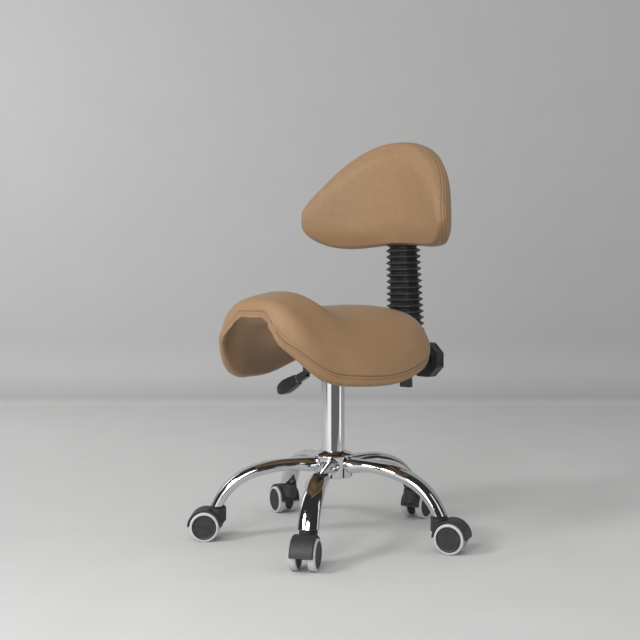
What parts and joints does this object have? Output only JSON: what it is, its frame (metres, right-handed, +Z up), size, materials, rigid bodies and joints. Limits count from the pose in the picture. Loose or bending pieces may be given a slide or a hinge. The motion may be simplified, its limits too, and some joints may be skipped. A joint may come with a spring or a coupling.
{
  "type": "saddle stool",
  "caption": "Swivel saddle stool with padded tan leather seat and curved backrest, gas lift and a chrome five-leg base on twin-wheel casters",
  "frame": {"origin": "on the floor under the column's axis", "axes": "+Z up, the sitter faces -Y, the sitter's left hand is at +X"},
  "size_m": [0.6004, 0.6223, 0.872],
  "materials": {
    "chrome": "polished",
    "steel": "plain",
    "black_metal": "satin black",
    "black_plastic": "fine texture",
    "button_plastic": "plain",
    "bellows_rubber": "matte",
    "tan_leather": "soft grain",
    "plywood": "raw",
    "caster_plastic": "fine texture",
    "tread_rubber": "smooth grey"
  },
  "bodies": {
    "base": {"base_hub": "chrome", "base_legs": "chrome", "leg_end_plugs": "black_plastic", "leg_plug_screws": "steel", "column_tube": "chrome", "column_bushing": "black_plastic", "thrust_bearing": "steel", "caster_stem_1": "steel", "caster_stem_2": "steel", "caster_stem_3": "steel", "caster_stem_4": "steel", "caster_stem_5": "steel"},
    "lift": {"lift_rod": "steel", "rod_clip": "steel"},
    "seat": {"lift_cylinder": "chrome", "mechanism_housing": "black_metal", "mechanism_screws": "steel", "lever_pivot": "steel", "seat_board": "plywood", "seat_cushion": "tan_leather", "back_arm": "black_metal", "bellows": "bellows_rubber"},
    "lever": {"lever_rod": "black_metal", "lever_paddle": "black_plastic"},
    "button": {"release_button": "button_plastic"},
    "knob": {"clamp_knob": "black_plastic"},
    "back": {"upright_bar": "black_metal", "back_bracket": "black_metal", "backrest_board": "plywood", "backrest_cushion": "tan_leather"},
    "caster_1": {"caster_hood_1": "caster_plastic", "caster_axle_1": "steel"},
    "wheel_1_left": {"wheel_disc_left_1": "caster_plastic", "wheel_tread_left_1": "tread_rubber"},
    "wheel_1_right": {"wheel_disc_right_1": "caster_plastic", "wheel_tread_right_1": "tread_rubber"},
    "caster_2": {"caster_hood_2": "caster_plastic", "caster_axle_2": "steel"},
    "wheel_2_left": {"wheel_disc_left_2": "caster_plastic", "wheel_tread_left_2": "tread_rubber"},
    "wheel_2_right": {"wheel_disc_right_2": "caster_plastic", "wheel_tread_right_2": "tread_rubber"},
    "caster_3": {"caster_hood_3": "caster_plastic", "caster_axle_3": "steel"},
    "wheel_3_left": {"wheel_disc_left_3": "caster_plastic", "wheel_tread_left_3": "tread_rubber"},
    "wheel_3_right": {"wheel_disc_right_3": "caster_plastic", "wheel_tread_right_3": "tread_rubber"},
    "caster_4": {"caster_hood_4": "caster_plastic", "caster_axle_4": "steel"},
    "wheel_4_left": {"wheel_disc_left_4": "caster_plastic", "wheel_tread_left_4": "tread_rubber"},
    "wheel_4_right": {"wheel_disc_right_4": "caster_plastic", "wheel_tread_right_4": "tread_rubber"},
    "caster_5": {"caster_hood_5": "caster_plastic", "caster_axle_5": "steel"},
    "wheel_5_left": {"wheel_disc_left_5": "caster_plastic", "wheel_tread_left_5": "tread_rubber"},
    "wheel_5_right": {"wheel_disc_right_5": "caster_plastic", "wheel_tread_right_5": "tread_rubber"}
  },
  "joints": [
    {"name": "seat_swivel", "type": "hinge", "parent": "base", "child": "lift", "pos_m": [0, 0, 0.2], "axis": [0, 0, 1], "continuous": true},
    {"name": "seat_height", "type": "slide", "parent": "lift", "child": "seat", "axis": [0, 0, 1], "range_m": [0, 0.12]},
    {"name": "lever_lift", "type": "hinge", "parent": "seat", "child": "lever", "pos_m": [-0.034, 0, 0.3831], "axis": [0, 1, 0], "range_deg": [0, 5], "stiffness_Nm_per_rad": 2, "springref_deg": -11.46},
    {"name": "button_press", "type": "slide", "parent": "seat", "child": "button", "axis": [0, 0, -1], "range_m": [0, 0.003]},
    {"name": "back_height", "type": "slide", "parent": "seat", "child": "back", "axis": [0, -0.0523, 0.9986], "range_m": [-0.06, 0.035], "deforming": ["bellows"]},
    {"name": "knob_turn", "type": "hinge", "parent": "seat", "child": "knob", "pos_m": [0, 0.346, 0.364], "axis": [0, 1, 0], "range_deg": [0, 360]},
    {"name": "caster_1_swivel", "type": "hinge", "parent": "base", "child": "caster_1", "pos_m": [0.12795, -0.21127, 0.071], "axis": [0, 0, 1], "continuous": true},
    {"name": "wheel_1_left_spin", "type": "hinge", "parent": "caster_1", "child": "wheel_1_left", "pos_m": [0.14076, -0.2339, 0.031], "axis": [0.8704, 0.4924, 0], "continuous": true},
    {"name": "wheel_1_right_spin", "type": "hinge", "parent": "caster_1", "child": "wheel_1_right", "pos_m": [0.14076, -0.2339, 0.031], "axis": [0.8704, 0.4924, 0], "continuous": true},
    {"name": "caster_2_swivel", "type": "hinge", "parent": "base", "child": "caster_2", "pos_m": [0.24047, 0.0564, 0.071], "axis": [0, 0, 1], "continuous": true},
    {"name": "wheel_2_left_spin", "type": "hinge", "parent": "caster_2", "child": "wheel_2_left", "pos_m": [0.26491, 0.0653, 0.031], "axis": [-0.342, 0.9397, 0], "continuous": true},
    {"name": "wheel_2_right_spin", "type": "hinge", "parent": "caster_2", "child": "wheel_2_right", "pos_m": [0.26491, 0.0653, 0.031], "axis": [-0.342, 0.9397, 0], "continuous": true},
    {"name": "caster_3_swivel", "type": "hinge", "parent": "base", "child": "caster_3", "pos_m": [0.02067, 0.24613, 0.071], "axis": [0, 0, 1], "continuous": true},
    {"name": "wheel_3_left_spin", "type": "hinge", "parent": "caster_3", "child": "wheel_3_left", "pos_m": [0.01705, 0.27188, 0.031], "axis": [-0.9903, -0.1392, 0], "continuous": true},
    {"name": "wheel_3_right_spin", "type": "hinge", "parent": "caster_3", "child": "wheel_3_right", "pos_m": [0.01705, 0.27188, 0.031], "axis": [-0.9903, -0.1392, 0], "continuous": true},
    {"name": "caster_4_swivel", "type": "hinge", "parent": "base", "child": "caster_4", "pos_m": [-0.2277, 0.09572, 0.071], "axis": [0, 0, 1], "continuous": true},
    {"name": "wheel_4_left_spin", "type": "hinge", "parent": "caster_4", "child": "wheel_4_left", "pos_m": [-0.25228, 0.10418, 0.031], "axis": [-0.3256, -0.9455, 0], "continuous": true},
    {"name": "wheel_4_right_spin", "type": "hinge", "parent": "caster_4", "child": "wheel_4_right", "pos_m": [-0.25228, 0.10418, 0.031], "axis": [-0.3256, -0.9455, 0], "continuous": true},
    {"name": "caster_5_swivel", "type": "hinge", "parent": "base", "child": "caster_5", "pos_m": [-0.16139, -0.18698, 0.071], "axis": [0, 0, 1], "continuous": true},
    {"name": "wheel_5_left_spin", "type": "hinge", "parent": "caster_5", "child": "wheel_5_left", "pos_m": [-0.18072, -0.20438, 0.031], "axis": [0.6691, -0.7431, 0], "continuous": true},
    {"name": "wheel_5_right_spin", "type": "hinge", "parent": "caster_5", "child": "wheel_5_right", "pos_m": [-0.18072, -0.20438, 0.031], "axis": [0.6691, -0.7431, 0], "continuous": true}
  ],
  "couplings": [
    {"joint": "button_press", "follows": "lever_lift", "m_per_rad": 0.034}
  ]
}
